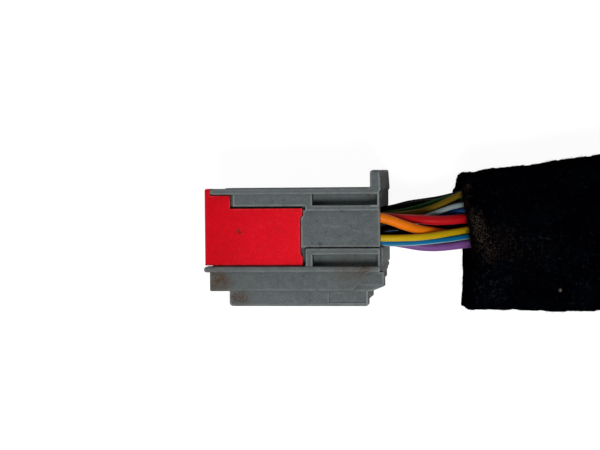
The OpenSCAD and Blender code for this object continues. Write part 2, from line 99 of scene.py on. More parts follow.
class Graph:
    """A small node material builder."""

    def __init__(self, name):
        self.material = bpy.data.materials.new(name)
        self.material.use_nodes = True
        self.tree = self.material.node_tree
        self.tree.nodes.clear()
        self.output = self.tree.nodes.new("ShaderNodeOutputMaterial")
        self.place = self.add("TexCoord").outputs["Object"]

    def add(self, kind, inputs=None, **settings):
        node = self.tree.nodes.new("ShaderNode" + kind)
        for key, value in settings.items():
            setattr(node, key, value)
        for key, value in (inputs or {}).items():
            self.set(node.inputs[key], value)
        return node

    def set(self, socket, value):
        if isinstance(value, bpy.types.NodeSocket):
            self.tree.links.new(value, socket)
        else:
            socket.default_value = value

    def math(self, operation, a, b=0.0, clamp=False):
        return self.add("Math", {0: a, 1: b}, operation=operation, use_clamp=clamp).outputs[0]

    def noise(self, scale, detail=3.0, roughness=0.5, stretch=(1, 1, 1), distortion=0.0):
        where = self.add("Mapping", {"Vector": self.place, "Scale": stretch}).outputs[0]
        return self.add("TexNoise", {"Vector": where, "Scale": scale, "Detail": detail,
                                     "Roughness": roughness, "Distortion": distortion}).outputs["Fac"]

    def ramp(self, value, low, high, to_low=0.0, to_high=1.0):
        return self.add("MapRange", {"Value": value, "From Min": low, "From Max": high,
                                     "To Min": to_low, "To Max": to_high}).outputs["Result"]

    def mix(self, amount, a, b, blend="MIX"):
        node = self.add("Mix", data_type="RGBA", blend_type=blend)
        for socket, value in ((node.inputs[0], amount), (node.inputs[6], a), (node.inputs[7], b)):
            if not isinstance(value, (bpy.types.NodeSocket, float, int)):
                value = (*value[:3], 1.0)
            self.set(socket, value)
        return node.outputs[2]

    def shade(self, colour, amount):
        """A colour times a grey amount."""
        grey = self.add("CombineColor", {0: amount, 1: amount, 2: amount}).outputs[0]
        return self.mix(1.0, colour, grey, "MULTIPLY")

    def spots(self, items, ragged):
        """A mask of soft ragged spots: each item is a centre, a radius and a strength."""
        total = 0.0
        for centre, radius, strength in items:
            away = self.add("VectorMath", {0: self.place, 1: tuple(centre)}, operation="DISTANCE")
            spot = self.ramp(away.outputs["Value"], radius, radius * 0.35, 0.0, strength)
            total = self.math("MAXIMUM", total, spot)
        return self.math("MULTIPLY", total, ragged, clamp=True)

    def corners(self, reach, open_at, closed_at, amount):
        """A mask of painted shade in each inner corner, within reach of other faces."""
        shaded = self.add("AmbientOcclusion", {"Distance": reach}, samples=6).outputs["AO"]
        return self.ramp(shaded, open_at, closed_at, 0.0, amount)

    def edges(self, reach, flat_at, sharp_at, amount, patches):
        """A mask of the outer edges, where less than reach of material lies behind a face."""
        within = self.add("AmbientOcclusion", {"Distance": reach}, samples=8, inside=True).outputs["AO"]
        return self.math("MULTIPLY", self.ramp(within, flat_at, sharp_at, 0.0, amount), patches)

    def axis(self, name):
        """The place along one axis."""
        return self.add("SeparateXYZ", {0: self.place}).outputs[name]

    def bump(self, height, strength, distance, normal=None):
        inputs = {"Height": height, "Strength": strength, "Distance": distance}
        if normal is not None:
            inputs["Normal"] = normal
        return self.add("Bump", inputs).outputs["Normal"]

    def finish(self, **inputs):
        shader = self.add("BsdfPrincipled")
        for key, value in inputs.items():
            socket = shader.inputs[key.replace("_", " ")]
            if not isinstance(value, (bpy.types.NodeSocket, float, int)):
                value = (*value[:3], 1.0)
            self.set(socket, value)
        self.tree.links.new(shader.outputs[0], self.output.inputs["Surface"])
        return self.material


# ---------- the wires ----------

# Stations along X, then Y and Z at each of the free ones, as in the construction
CAVITY_X = (24, 31, 38.4)
FREE_X = (42, 46, 50, 54, 58, 62, 66)
WRAP_X = (70, 82, 94, 106, 113)
COLUMN_PITCH, ROW_Y = 3.4, (22.3, 17.1)
BUNDLE_MID, END_SPLAY = (21.9, -2.4), 1.12
# The colour that the black wires share
BLACK = (0.0022, 0.0022, 0.0028)
# name: row, column, diameter, end, place in the wrap, free route, colour, pale stripe colour or None
WIRES = {
    "orange": (0, 0, 2.4, 124, (17, -3.9),
               ((22.5, 10.2), (21.6, 9.6), (20.1, 8.2), (18.8, 5.6), (18, 1.6), (17.2, -1.8), (16.9, -3.6)),
               (0.85, 0.19, 0.0008), None),
    "red": (0, 1, 2.4, 126, (21.6, -0.9),
            ((22.2, 6.8), (21.9, 6.6), (21.6, 5.8), (21.4, 3.8), (21.1, 2.6), (21.2, 1.2), (21.5, -0.4)),
            (0.46, 0.003, 0.008), None),
    "white": (0, 2, 1.3, 123, (25.3, -0.9),
              ((22.3, 3.4), (21.9, 3), (21.4, 2), (21.6, 0.9), (23.1, 0.6), (24.5, 0.1), (25.2, -0.5)),
              (0.19, 0.245, 0.25), None),
    "olive": (0, 3, 1.5, 125, (28.7, -0.9),
              ((22.3, 0), (22.5, 0), (22.8, 0), (23.4, -0.2), (24.8, -0.5), (26.7, -0.4), (28.4, -0.6)),
              (0.120, 0.074, 0.002), None),
    "green": (0, 4, 1.3, 122, (27, -0.9),
              ((22.5, -3.4), (23, -3.3), (23.6, -3.1), (24.6, -2.8), (25.9, -2.5), (27, -2.1), (27, -1.6)),
              (0.014, 0.055, 0.010), None),
    "black_1": (0, 5, 1.6, 125, (26.9, -3.9),
                ((22.9, -6.8), (23.9, -6.6), (24.8, -6.2), (25.5, -5.5),
                 (25.7, -4.9), (26.2, -4.4), (26.8, -3.9)),
                BLACK, None),
    "black_2": (0, 6, 1.6, 124, (28.7, -3.9),
                ((23.5, -10), (24.2, -9.4), (25.2, -8.4), (25.8, -7.3),
                 (26.4, -6.6), (27.3, -5.9), (28.3, -5)),
                BLACK, None),
    "yellow": (1, 0, 1.7, 125, (18.8, -0.9),
               ((17, 10.2), (16.9, 9.9), (16.9, 9), (17, 7.2), (17.4, 4.8), (18, 2.2), (18.6, 0)),
               (0.54, 0.35, 0.002), None),
    "blue": (1, 1, 1.5, 123, (17, -0.9),
             ((16.3, 7.2), (15.5, 7.4), (15.5, 7), (15.7, 5.8), (16, 3.8), (16.4, 1.8), (16.9, -0.2)),
             (0.0015, 0.15, 0.34), (0.30, 0.46, 0.44)),
    "purple": (1, 2, 2.2, 125, (15, -0.9),
               ((16.6, 3.6), (15.9, 3.8), (15.2, 3.7), (14.5, 3), (14.3, 2), (14.6, 0.8), (15, -0.5)),
               (0.20, 0.075, 0.27), None),
    "navy": (1, 5, 1.5, 124, (23.7, -0.9),
             ((17.4, -6.8), (18.6, -6.9), (20.4, -6.6), (21.6, -4.9),
              (22.3, -2.6), (23.1, -1.7), (23.6, -1.2)),
             (0.004, 0.045, 0.17), None),
    "brown": (1, 6, 1.3, 122, (25.1, -3.9),
              ((17.4, -10.2), (18.4, -9.8), (20.4, -9), (22.4, -8), (23.8, -6.9), (25, -5.7), (25.2, -4.4)),
              (0.07, 0.035, 0.012), None),
    "black_3": (1, 3, 1.6, 123, (19.2, -3.9),
                ((17.2, 0), (17.45, -0.6), (17.8, -1.2), (18, -2), (18.9, -2.9), (19.3, -3.5), (19.3, -3.8)),
                BLACK, None),
    "black_4": (1, 4, 1.6, 126, (23.1, -3.9),
                ((18.2, -3.5), (19.2, -3.7), (18.9, -3.7), (19.4, -3.9),
                 (20.3, -4.4), (21.6, -4.6), (22.9, -4.1)),
                BLACK, None),
}


def wire_route(row, column, end, place, free):
    splayed = [m + END_SPLAY * (p - m) for p, m in zip(place, BUNDLE_MID)]
    points = [(x, ROW_Y[row], (3 - column) * COLUMN_PITCH) for x in CAVITY_X]
    points += [(x, y, z) for x, (y, z) in zip(FREE_X, free)]
    points += [(x, *place) for x in WRAP_X]
    points += [(end - 5, *splayed), (end, *splayed)]
    return [np.array(at(*p)) for p in points]


def smooth_path(points, step):
    """Points about step apart on a smooth curve through the given ones."""
    points = [2 * points[0] - points[1]] + points + [2 * points[-1] - points[-2]]
    path = []
    for a, b, c, d in zip(points, points[1:], points[2:], points[3:]):
        count = max(2, round(np.linalg.norm(c - b) / step))
        for i in range(count):
            t = i / count
            path.append(0.5 * (2 * b + (c - a) * t + (2 * a - 5 * b + 4 * c - d) * t * t
                               + (3 * b - a - 3 * c + d) * t ** 3))
    path.append(points[-2])
    return np.array(path)


def path_frames(path):
    """Two directions square to the path at each point, carried along it without twist."""
    along = np.gradient(path, axis=0)
    along /= np.linalg.norm(along, axis=1)[:, None]
    side = np.cross((0, 0, 1), along[0])
    sides = []
    for t in along:
        side = side - t * np.dot(side, t)
        side /= np.linalg.norm(side)
        sides.append(side)
    sides = np.array(sides)
    return along, sides, np.cross(along, sides)


def wire_tube(name, path, radius, sides=16):
    """An insulated wire with a cut end that shows the bore of its insulation."""
    along, u, v = path_frames(path)
    angles = np.arange(sides) * 2 * math.pi / sides
    points, faces, rings = [], [], []

    def ring(i, r, shift=0.0):
        rings.append(len(points))
        centre = path[i] + along[i] * shift
        points.extend(centre + r * (math.cos(a) * u[i] + math.sin(a) * v[i]) for a in angles)

    ring(0, radius * 0.6)
    for i in range(len(path)):
        swell = 1 + 0.012 * noise.noise(Vector(path[i]) * 900)
        ring(i, radius * swell * (0.97 if i in (0, len(path) - 1) else 1))
    ring(-1, radius * 0.62, 0.0)
    ring(-1, radius * 0.60, -radius)
    for a, b in zip(rings, rings[1:]):
        faces += ring_faces(a, b, sides)
    faces.append([rings[0] + k for k in reversed(range(sides))])
    faces.append([rings[-1] + k for k in range(sides)])
    obj = mesh_object(name, points, faces)
    obj.data.polygons[-1].use_smooth = obj.data.polygons[-2].use_smooth = False
    lengths = np.concatenate([[0], np.cumsum(np.linalg.norm(np.diff(path, axis=0), axis=1))])
    layer = obj.data.uv_layers.new(name="wire")
    for poly in obj.data.polygons:
        seam = {i % sides for i in poly.vertices} >= {0, sides - 1}
        for loop in poly.loop_indices:
            index = obj.data.loops[loop].vertex_index
            station = min(max(index // sides - 1, 0), len(path) - 1)
            turn = index % sides
            if seam and turn == 0:
                turn = sides
            layer.data[loop].uv = (lengths[station] * 100, turn / sides)
    return obj


def strands(name, path, radius):
    """Seven bare copper strands in the bore at the cut end of a wire."""
    along, u, v = path_frames(path)
    core, centre, sides = radius * 0.19, path[-1], 8
    points, faces = [], []
    places = [(0.0, 0.0)] + [(radius * 0.39, i * math.pi / 3) for i in range(6)]
    for r, a in places:
        twist, tip = 0.5 if r else 0.0, random.uniform(0.3, 0.7) * MM
        rows = []
        for j, shift in enumerate((-0.9 * radius, tip * 0.5, tip - core * 0.3, tip)):
            spot = centre + along[-1] * shift + r * (
                math.cos(a + twist * j / 3) * u[-1] + math.sin(a + twist * j / 3) * v[-1])
            size = core * (0.7 if j == 3 else 1)
            rows.append(len(points))
            points.extend(spot + size * (math.cos(b) * u[-1] + math.sin(b) * v[-1])
                          for b in np.arange(sides) * 2 * math.pi / sides)
        for low, high in zip(rows, rows[1:]):
            faces += ring_faces(low, high, sides)
        faces.append([rows[0] + k for k in reversed(range(sides))])
        faces.append([rows[-1] + k for k in range(sides)])
    return mesh_object(name, points, faces)


# Where the pale stripe lies around its wire, as a share of a turn
STRIPE_AT = 0.42


def wire_material(name, colour, stripe):
    g = Graph(name)
    shine = 0.04 if max(colour) < 0.15 else 0.13
    grime = g.ramp(g.noise(260, 4, 0.6, (0.35, 1, 1)), 0.35, 0.7, 0.82, 1.08)
    tone = g.shade(colour, grime)
    if stripe:
        around = g.add("SeparateXYZ", {0: g.add("UVMap", uv_map="wire").outputs[0]}).outputs["Y"]
        near = g.math("ABSOLUTE", g.math("SUBTRACT", around, STRIPE_AT))
        tone = g.mix(g.ramp(near, 0.055, 0.04), tone, stripe)
    dust = g.ramp(g.noise(1900, 3, 0.7), 0.66, 0.76, 0.0, 0.35)
    tone = g.mix(dust, tone, (0.16, 0.15, 0.13))
    along = g.axis("X")
    # where the wires enter the fleece they are darkened in ragged patches, partly soot and partly painted
    # shade of the mouth, fading out inside it
    inside = g.math("MULTIPLY", g.ramp(along, at(63.5, 0, 0).x, at(68, 0, 0).x),
                    g.ramp(along, at(100, 0, 0).x, at(80, 0, 0).x))
    soot_and_mouth_shade = g.math("MULTIPLY", inside, g.ramp(g.noise(1300, 4, 0.75), 0.36, 0.52))
    tone = g.mix(soot_and_mouth_shade, tone, (0.003, 0.002, 0.002))
    rough = g.ramp(g.noise(700, 3), 0.3, 0.7, 0.36, 0.5)
    normal = g.bump(g.noise(1500, 3, 0.6, (0.25, 1, 1)), 0.25, 0.05 * MM)
    return g.finish(Base_Color=tone, Roughness=rough, Normal=normal, Specular_IOR_Level=shine)


wire_pieces, wire_paths = {}, {}
for key, (row, column, diameter, end, place, free, colour, stripe) in WIRES.items():
    path = smooth_path(wire_route(row, column, end, place, free), 0.9 * MM)
    piece = wire_tube("insulated_wire_" + key, path, diameter / 2 * MM)
    piece.data.materials.append(wire_material("insulation_" + key, colour, stripe))
    wire_pieces[key], wire_paths[key] = piece, path

# ---------- the fleece wrap ----------

WRAP_X0, WRAP_LEN, WRAP_T = 61.6, 51.0, 25.0
# The mouth leans back toward the near side, and slants above and below MOUTH_TOP
MOUTH_TOP, MOUTH_SLANT, MOUTH_SKEW, MOUTH_RUN, LEAN_Z, MOUTH_LEAN = 28.5, 0.45, 0.19, 13, -4, 0.34
# Lower and upper side, each at the mouth and at the cut end, and how square the outline is
WRAP_Y0, WRAP_Y1, WRAP_POWER = (-1.5, -2.3), (33.1, 39), 4
# The bore as y and z limits, at the mouth and where it lies close to the wires
MOUTH_HOLE, BUNDLE_HOLE, HOLE_POWER = (12.6, 30.6, -8, 3.8), (13.6, 30, -5.4, 0.6), 4.5
LIP, HOLE_TAPER = 0.8, 0.25
FLOOR_Z = -15.0
FLOOR_CLEAR = 0.05 * MM
AROUND = 176


def oval(y0, y1, z0, z1, power):
    """A closed outline between an ellipse, at power 2, and a rectangle."""
    angles = np.arange(AROUND) * 2 * math.pi / AROUND
    c, s = np.cos(angles), np.sin(angles)
    return np.stack([(y0 + y1) / 2 + (y1 - y0) / 2 * np.sign(c) * np.abs(c) ** (2 / power),
                     (z0 + z1) / 2 + (z1 - z0) / 2 * np.sign(s) * np.abs(s) ** (2 / power)], 1)


def even(loop):
    """The same closed outline with its points evenly spaced, from the same start."""
    closed = np.vstack([loop, loop[:1]])
    far = np.concatenate([[0], np.cumsum(np.linalg.norm(np.diff(closed, axis=0), axis=1))])
    where = np.arange(len(loop)) * far[-1] / len(loop)
    return np.stack([np.interp(where, far, closed[:, k]) for k in range(2)], 1)


def wrap_outline(s, inset):
    """The wrap's outline at a share s of its length, drawn in by inset."""
    y0, y1 = (a + s * (b - a) for a, b in (WRAP_Y0, WRAP_Y1))
    return even(oval(y0 + inset, y1 - inset, FLOOR_Z + inset, FLOOR_Z + WRAP_T - inset, WRAP_POWER))


def hole_outline(s, grow):
    """The outline of the bore at a share s of the length, made wider by grow."""
    t = min(s / HOLE_TAPER, 1)
    y0, y1, z0, z1 = (a + t * (b - a) for a, b in zip(MOUTH_HOLE, BUNDLE_HOLE))
    return even(oval(y0 - grow, y1 + grow, z0 - grow, z1 + grow, HOLE_POWER))


def wrap_point(s, place):
    """A point of an outline at a share s of the length, moved by the cut of the mouth."""
    y, z = place
    lean = (MOUTH_LEAN * max(z - LEAN_Z, 0) + MOUTH_SLANT * max(y - MOUTH_TOP, 0)
            + MOUTH_SKEW * min(max(MOUTH_TOP - y, 0), MOUTH_RUN))
    return at(WRAP_X0 + s * WRAP_LEN + (1 - s) * lean, y, z)


def wrap_shell():
    """Outer side, rounded lip, inner side and cut end of the wrap, as one closed skin."""
    loops = [(LIP * (1 - math.cos(i / 6 * math.pi / 2)) / WRAP_LEN,
              wrap_outline(0, LIP * (1 - math.sin(i / 6 * math.pi / 2)))) for i in range(6)]
    loops += [(s, wrap_outline(s, 0)) for s in np.linspace(LIP / WRAP_LEN, 1 - LIP / WRAP_LEN, 100)]
    loops += [(1 - 0.3 / WRAP_LEN, wrap_outline(1, 0.25)), (1, wrap_outline(1, LIP))]
    rim = loops[-1][1]
    for t in np.linspace(0.1, 1, 12):
        dip = 0.004 * math.sin(t * math.pi * 5) ** 2
        loops.append((1 - dip, rim + t * (hole_outline(1, 0.3) - rim)))
    loops += [(s, hole_outline(s, 0)) for s in np.linspace(0.99, 0.05, 30)]
    loops += [(LIP * t / WRAP_LEN, hole_outline(0, 0.5 * (1 - t))) for t in (1, 0.4)]
    lips, inner = loops[0][1], hole_outline(0, 0.9)
    loops += [(0, inner + t * (lips - inner)) for t in (0, 0.35, 0.7)]
    points = [wrap_point(s, p) for s, loop in loops for p in loop]
    count = len(loops)
    faces = []
    for i in range(count):
        a, b = i * AROUND, (i + 1) % count * AROUND
        faces += ring_faces(a, b, AROUND)
    return mesh_object("fleece_wrap", points, faces)


def roughen(obj):
    """Soft folds, wound edges and nap, by moving points along their normals, 0.4 mm outward at most."""
    mesh = obj.data
    mesh.update()
    mouth_x, depth = at(WRAP_X0, 0, 0).x, WRAP_LEN * MM
    for vertex, normal in zip(mesh.vertices, [n.vector.copy() for n in mesh.vertex_normals]):
        p = vertex.co
        along = (p.x - mouth_x) / depth
        turns = (along * 7.3 + 0.35 * noise.noise(p * 40) + p.y * 9) % 1
        step = 0.30 * max(0, 1 - turns * 3.2)
        folds = 0.45 * (noise.fractal(p * 95, 1.0, 2.0, 3) - 0.3)
        nap = 0.22 * noise.fractal(p * 900, 0.8, 2.1, 3)
        move = min(folds + nap - step + 0.2, 0.4) * MM
        if p.z < 0.6 * MM:
            move = min(move, 0)
        vertex.co = p + normal * move
        vertex.co.z = max(vertex.co.z, FLOOR_CLEAR)
    mesh.update()


fleece = wrap_shell()
roughen(fleece)


# How deep a fibre is rooted, and how far it stays above the floor
ROOT_DEPTH, FIBRE_CLEAR = 0.05 * MM, 0.03 * MM


def fibres(name, seeds, directions, lengths, width, curl, lift):
    """Thin curled ribbons of three steps that stand a little off a surface."""
    points, faces = [], []
    for (spot, normal), direction, length in zip(seeds, directions, lengths):
        direction = direction - normal * direction.dot(normal)
        if direction.length < 1e-6:
            continue
        direction.normalize()
        turn = random.uniform(-curl, curl)
        rise = random.uniform(0.2, 1) * lift
        here, side = spot - normal * ROOT_DEPTH, normal.cross(direction)
        base = len(points)
        for j in range(4):
            w = width * (0.5, 1, 0.9, 0.25)[j] / 2
            for point in (here - side * w, here + side * w):
                points.append(Vector((point.x, point.y, max(point.z, FIBRE_CLEAR))))
            here = here + (direction + normal * rise * (1 - j * 0.55)) * (length / 3)
            direction = Matrix.Rotation(turn, 3, normal) @ direction
            side = normal.cross(direction)
            side = (side + normal * random.uniform(-0.7, 0.7)).normalized()
        faces += [(base + 2 * j, base + 2 * j + 1, base + 2 * j + 3, base + 2 * j + 2) for j in range(3)]
    return mesh_object(name, points, faces)


def surface_seeds(obj, share, count):
    """Random points of a mesh with their normals, as dense as share(point, normal) says."""
    polygons = [(p.center.copy(), p.normal.copy(), p.area) for p in obj.data.polygons]
    weights = np.array([a * share(c, n) for c, n, a in polygons])
    picks = random.choice(len(polygons), count, p=weights / weights.sum())
    seeds = []
    for i in picks:
        c, n, a = polygons[i]
        spread = math.sqrt(a) / 2
        shift = Vector(random.uniform(-spread, spread, 3))
        seeds.append((c + shift - n * shift.dot(n), n))
    return seeds


def any_direction(count):
    return [Vector(d) for d in random.normal(size=(count, 3))]


# No fibres start below this height, where the wrap lies on the floor
FIBRE_Z = 1.2 * MM


def inner_side(c, n):
    """Whether a point is on the inner side of the wrap, which faces its middle."""
    middle = at(0, 22, -2.2)
    return n.y * (c.y - middle.y) + n.z * (c.z - middle.z) < 0 and abs(n.x) < 0.8


def outside(c, n):
    """Whether a point c with the normal n is on the outer side, clear of the floor."""
    return c.z > FIBRE_Z and not inner_side(c, n)


# Where dry lint hangs on the side that shows: centre, reach and share
LINT = [(at(67.8, 22.3, 9), 2.8, 0.9), (at(68.6, 19.5, 9.5), 3.4, 1.1), (at(69.4, 16.6, 9.5), 3.6, 0.6),
        (at(71.5, 13, 10), 4.0, 0.55), (at(65.8, 29.6, 8), 1.7, 2.2), (at(75, 16, 10), 7.0, 0.4),
        (at(82, 13, 10), 9.0, 0.10)]
# Where more of the pale strands lie
PALE = [(at(71, 5, 10), 10.0, 2.2), (at(85, 18, 10), 8.0, 1.0), (at(74, 26, 10), 9.0, 0.5),
        (at(92, 8, 10), 12.0, 0.8)]


def lint_place(c, n):
    """How much dry lint hangs at a point."""
    if not outside(c, n) or c.z < at(0, 0, 5).z:
        return 0
    return sum(share * max(0, 1 - (c - place).length / (reach * MM)) ** 2 for place, reach, share in LINT)


def pale_place(c, n):
    """How many pale strands lie at a point."""
    if not outside(c, n):
        return 0
    return 0.12 + sum(share * max(0, 1 - (c - place).length / (reach * MM)) for place, reach, share in PALE)


def mouth_edge(c, n):
    """Whether a point is on the near lip of the mouth, where loose fibres hang over the wires."""
    low, high = at(0, 13, 3), at(69, 30, 0)
    return n.x < -0.3 and c.x < high.x and c.z > low.z and low.y < c.y < high.y


fuzz_count, lint_count, pale_count, fringe_count = 12000, 2100, 2600, 700
fuzz = fibres("fleece_nap", surface_seeds(fleece, outside, fuzz_count), any_direction(fuzz_count),
              random.uniform(0.4, 1.6, fuzz_count) * MM, 0.055 * MM, 0.5, 0.5)
lint = fibres("dry_lint", surface_seeds(fleece, lint_place, lint_count), any_direction(lint_count),
              random.uniform(0.25, 1.2, lint_count) * MM, 0.045 * MM, 1.3, 0.6)
pale = fibres("pale_lint", surface_seeds(fleece, pale_place, pale_count), any_direction(pale_count),
              random.uniform(0.4, 1.9, pale_count) * MM, 0.05 * MM, 1.1, 0.3)
fringe = fibres("mouth_fringe", surface_seeds(fleece, mouth_edge, fringe_count),
                [Vector((-1, random.uniform(-0.6, 0.6), random.uniform(-0.3, 0.5)))
                 for _ in range(fringe_count)],
                random.uniform(0.5, 1.8, fringe_count) * MM, 0.08 * MM, 0.9, 0.7)


def fleece_material():
    g = Graph("fleece")
    broad = g.ramp(g.noise(130, 4, 0.6), 0.42, 0.66)
    tone = g.mix(broad, (0.0002, 0.0002, 0.0008), (0.0008, 0.0011, 0.0022))
    nap = g.ramp(g.noise(2300, 3, 0.7, distortion=1.4), 0.56, 0.72, 0.0, 0.8)
    tone = g.mix(nap, tone, (0.0022, 0.0030, 0.0045))
    ragged = g.ramp(g.noise(1500, 4, 0.75, distortion=1.0), 0.50, 0.66)
    dirt = g.spots([(at(68.3, 19.5, 9), 4.0 * MM, 0.4), (at(72, 13, 10), 4.5 * MM, 0.15),
                    (at(65, 29, 8), 2.2 * MM, 0.6)], ragged)
    tone = g.mix(dirt, tone, (0.030, 0.020, 0.013))
    crumb = g.spots([(at(88.9, 3.6, 10), 0.9 * MM, 1.0)], g.ramp(g.noise(900, 2, 0.5), 0.34, 0.46))
    tone = g.mix(crumb, tone, (0.38, 0.28, 0.21))
    height = g.math("ADD", g.noise(1700, 5, 0.75, distortion=0.8), g.noise(420, 3))
    normal = g.bump(height, 0.9, 0.4 * MM)
    return g.finish(Base_Color=tone, Roughness=1.0, Normal=normal, Specular_IOR_Level=0.0)


def fibre_material(name, dark, light, scale, fade):
    """Fibres between two colours, whose light one fades to a share away from the mouth."""
    g = Graph(name)
    along = g.axis("X")
    amount = g.math("MULTIPLY", g.ramp(g.noise(scale, 2), 0.44, 0.68),
                    g.ramp(along, at(69, 0, 0).x, at(73.5, 0, 0).x, 1.0, fade))
    tone = g.mix(amount, dark, light)
    return g.finish(Base_Color=tone, Roughness=1.0, Specular_IOR_Level=0.0)


fleece.data.materials.append(fleece_material())
for piece, name, dark, light, scale, fade in (
        (fuzz, "fleece_fibres", (0.0002, 0.0002, 0.0007), (0.0020, 0.0027, 0.0044), 300, 1.0),
        (lint, "lint_brown", (0.002, 0.0015, 0.001), (0.135, 0.100, 0.072), 3000, 0.34),
        (pale, "lint_pale", (0.001, 0.0015, 0.003), (0.028, 0.039, 0.045), 900, 1.0),
        (fringe, "lint_fringe", (0.001, 0.001, 0.002), (0.026, 0.015, 0.010), 1500, 1.0)):
    piece.data.materials.append(fibre_material(name, dark, light, scale, fade))

# ---------- moulded plastics and metal ----------

EDGE_RADIUS = 0.18 * MM


def grey_plastic():
    g = Graph("housing_plastic")
    broad = g.ramp(g.noise(75, 3), 0.3, 0.7, 0.91, 1.09)
    cloud = g.ramp(g.noise(650, 3, 0.6), 0.35, 0.65, 0.89, 1.11)
    grain = g.ramp(g.noise(2300, 2, 0.6), 0.35, 0.65, 0.86, 1.14)
    tone = g.shade((0.084, 0.099, 0.102), g.math("MULTIPLY", g.math("MULTIPLY", broad, grain), cloud))
    warm = g.ramp(g.noise(60, 2, 0.5, distortion=0.6), 0.5, 0.75, 0.0, 0.45)
    tone = g.mix(warm, tone, (0.086, 0.089, 0.083))
    # painted shade in each inner corner, then specks and rubbed marks
    tone = g.mix(g.corners(0.6 * MM, 0.62, 0.25, 0.6), tone, (0.012, 0.012, 0.012))
    cell = g.add("TexVoronoi", {"Vector": g.place, "Scale": 430.0, "Randomness": 1.0})
    speck = g.math("MULTIPLY", g.ramp(cell.outputs["Distance"], 0.13, 0.07),
                   g.ramp(g.noise(150, 2), 0.50, 0.55, 0.0, 0.8))
    tone = g.mix(speck, tone, (0.024, 0.023, 0.022))
    rub = g.math("MULTIPLY", g.ramp(g.noise(800, 3, 0.65, (0.3, 1, 1)), 0.57, 0.72, 0.0, 0.5),
                 g.ramp(g.noise(90, 2), 0.42, 0.6))
    tone = g.mix(rub, tone, (0.17, 0.175, 0.172))
    # moulded edges are painted lighter, partly rubbed wear and partly a painted highlight
    sharp = g.add("NewGeometry").outputs["Normal"]
    edge = g.add("Bevel", {"Radius": EDGE_RADIUS}, samples=6).outputs["Normal"]
    edge_wear_and_highlight = g.edges(0.6 * MM, 0.985, 0.76, 0.75, g.ramp(g.noise(450, 3), 0.35, 0.6, 0.4, 1.0))
    tone = g.mix(edge_wear_and_highlight, tone, (0.205, 0.22, 0.22))
    # the rear face and the back of the guard are painted darker in ragged patches
    rear = g.ramp(g.add("SeparateXYZ", {0: sharp}).outputs["X"], 0.5, 0.8)
    rear_darkening = g.ramp(g.noise(800, 5, 0.75, (1, 1, 0.4)), 0.40, 0.56, 0.2, 1.0)
    tone = g.mix(g.math("MULTIPLY", rear, rear_darkening), tone, (0.026, 0.026, 0.026))
    scratch = g.math("MULTIPLY", rear, g.ramp(g.noise(700, 4, 0.7, (1, 1, 0.3)), 0.56, 0.66, 0.0, 0.6))
    tone = g.mix(scratch, tone, (0.24, 0.25, 0.25))
    ragged = g.ramp(g.noise(1100, 4, 0.7), 0.42, 0.52)
    dots = g.spots([(at(x, y, 13.6), r * MM, 0.9) for x, y, r in (
        (34.9, 23.9, 0.5), (31.9, 24.4, 0.6), (30.9, 18.7, 0.35), (29.3, 15.7, 0.6), (27.3, 15.9, 0.4),
        (28.6, 21.4, 0.3), (37.2, 20.1, 0.3), (34.5, 17.6, 0.3), (14.3, 8.2, 0.45), (22, 6.4, 0.3))],
        g.ramp(g.noise(2600, 3, 0.7), 0.36, 0.5))
    tone = g.mix(dots, tone, (0.022, 0.021, 0.019))
    stains = g.spots([
        (at(3.0, 7.0, 13.8), 1.7 * MM, 0.5), (at(4.3, 7.3, 13.8), 1.1 * MM, 0.7),
        (at(7.1, 2.3, 13.2), 0.9 * MM, 0.6), (at(9.9, 2, 13.2), 1.2 * MM, 0.7),
        (at(41, 9.7, 15), 1.6 * MM, 0.6), (at(41.4, 27.4, 12), 1.2 * MM, 0.8),
        (at(17.5, 26.3, 14.6), 0.6 * MM, 0.5)], ragged)
    haze = g.spots([(at(3.2, 6, 13.8), 5.2 * MM, 0.9), (at(37, 9.3, 15), 7.0 * MM, 0.6),
                    (at(9, 1.9, 13.2), 3.5 * MM, 0.5)], g.ramp(g.noise(420, 4, 0.7), 0.36, 0.62, 0.35, 1.0))
    tone = g.mix(haze, tone, (0.064, 0.048, 0.032))
    rust = g.spots([
        (at(3.4, 6.6, 13.8), 3.4 * MM, 0.9), (at(8.4, 2.2, 13.2), 2.6 * MM, 0.9),
        (at(40.3, 9.6, 15), 3.2 * MM, 0.8)], g.ramp(g.noise(2000, 4, 0.75, distortion=0.6), 0.51, 0.57))
    tone = g.mix(stains, tone, (0.060, 0.034, 0.014))
    tone = g.mix(rust, tone, (0.050, 0.018, 0.007))
    height = g.math("ADD", g.noise(3200, 3, 0.6), g.math("MULTIPLY", g.noise(210, 2), 1.5))
    rough = g.ramp(g.noise(600, 3), 0.3, 0.7, 0.5, 0.64)
    return g.finish(Base_Color=tone, Roughness=rough, Normal=g.bump(height, 0.3, 0.07 * MM, edge),
                    Specular_IOR_Level=0.28)


